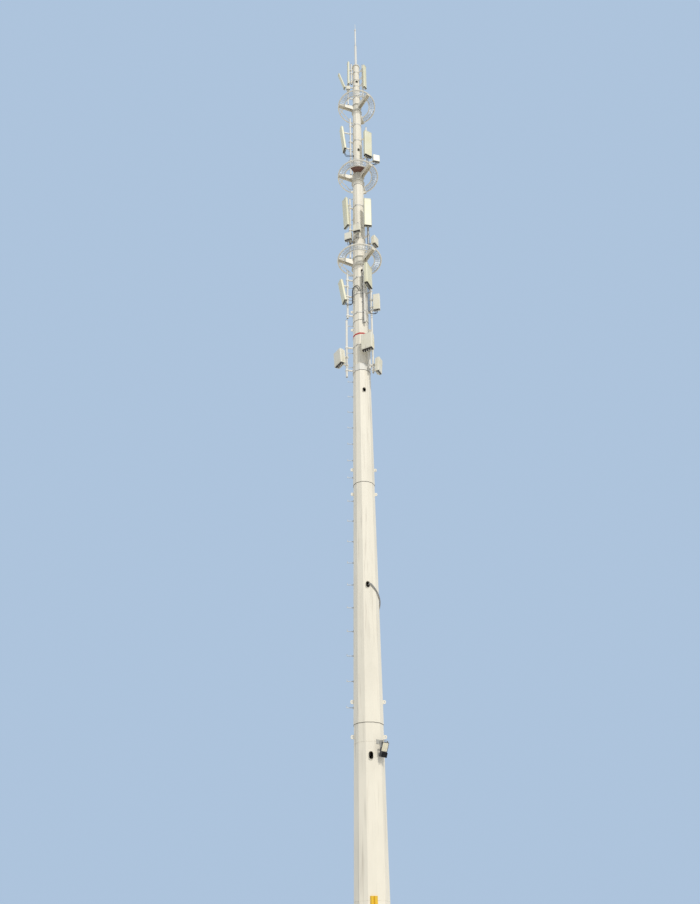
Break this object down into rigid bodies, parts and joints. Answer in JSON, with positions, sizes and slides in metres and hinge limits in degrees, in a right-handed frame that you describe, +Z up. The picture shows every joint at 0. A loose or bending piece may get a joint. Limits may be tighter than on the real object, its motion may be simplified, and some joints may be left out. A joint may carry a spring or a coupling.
{
  "type": "monopole cell tower",
  "caption": "Twelve-sided tapered steel monopole cell tower with ring platforms, panel antennas, radio units and a lightning rod.",
  "frame": {"origin": "centre of the base flange's underside, where it meets the foundation", "axes": "+Z up the pole, -Y towards the facet with the hand holes, +X to the right of that facet"},
  "size_m": [1.7869, 1.608, 38.68],
  "materials": {
    "cream_steel": "satin",
    "galvanised_steel": "matte",
    "radome": "matte",
    "radio_housing": "matte",
    "brown_plate": "matte",
    "cable_sheath": "matte",
    "black_aluminium": "matte",
    "red_strap": "matte",
    "yellow_paint": "satin"
  },
  "bodies": {
    "tower": {"base_flange": "cream_steel", "pole_section_1": "cream_steel", "pole_section_2": "cream_steel", "pole_section_3": "cream_steel", "pole_section_4": "cream_steel", "pole_section_5": "cream_steel", "hand_hole_rims": "cream_steel", "jacking_lugs": "cream_steel", "step_bolts": "galvanised_steel", "pole_cap": "cream_steel", "lightning_rod": "galvanised_steel", "platform_1_hub": "cream_steel", "platform_1_frame": "cream_steel", "platform_1_mesh": "galvanised_steel", "platform_2_hub": "cream_steel", "platform_2_frame": "cream_steel", "platform_2_mesh": "galvanised_steel", "platform_2_plate": "brown_plate", "platform_3_hub": "cream_steel", "platform_3_frame": "cream_steel", "platform_3_mesh": "galvanised_steel", "mounts_1": "galvanised_steel", "antenna_1_left": "radome", "antenna_1_right": "radome", "antenna_1_outer": "radome", "radio_1": "radio_housing", "mounts_2": "galvanised_steel", "antenna_2_left": "radome", "antenna_2_right": "radome", "antenna_2_back": "radome", "radio_2": "radio_housing", "mounts_3": "galvanised_steel", "mounts_3_bands": "galvanised_steel", "antenna_3_left": "radome", "antenna_3_right": "radome", "antenna_3_back": "radome", "radios_3": "radio_housing", "mounts_4": "galvanised_steel", "antenna_4_left": "radome", "antenna_4_right": "radome", "antenna_4_back": "radome", "radio_4": "radio_housing", "active_unit_left": "radio_housing", "active_unit_centre": "radio_housing", "active_unit_right": "radio_housing", "red_strap": "red_strap", "jumper_cables": "cable_sheath", "cable_conduit": "cable_sheath", "cable_guard": "yellow_paint", "floodlight_yoke": "black_aluminium"},
    "lamp_head": {"floodlight_head": "black_aluminium"}
  },
  "joints": [
    {"name": "lamp_tilt", "type": "hinge", "parent": "tower", "child": "lamp_head", "pos_m": [0.36196, -0.40191, 5.545], "axis": [0.7986, 0.6018, 0], "range_deg": [-44, 10]}
  ]
}
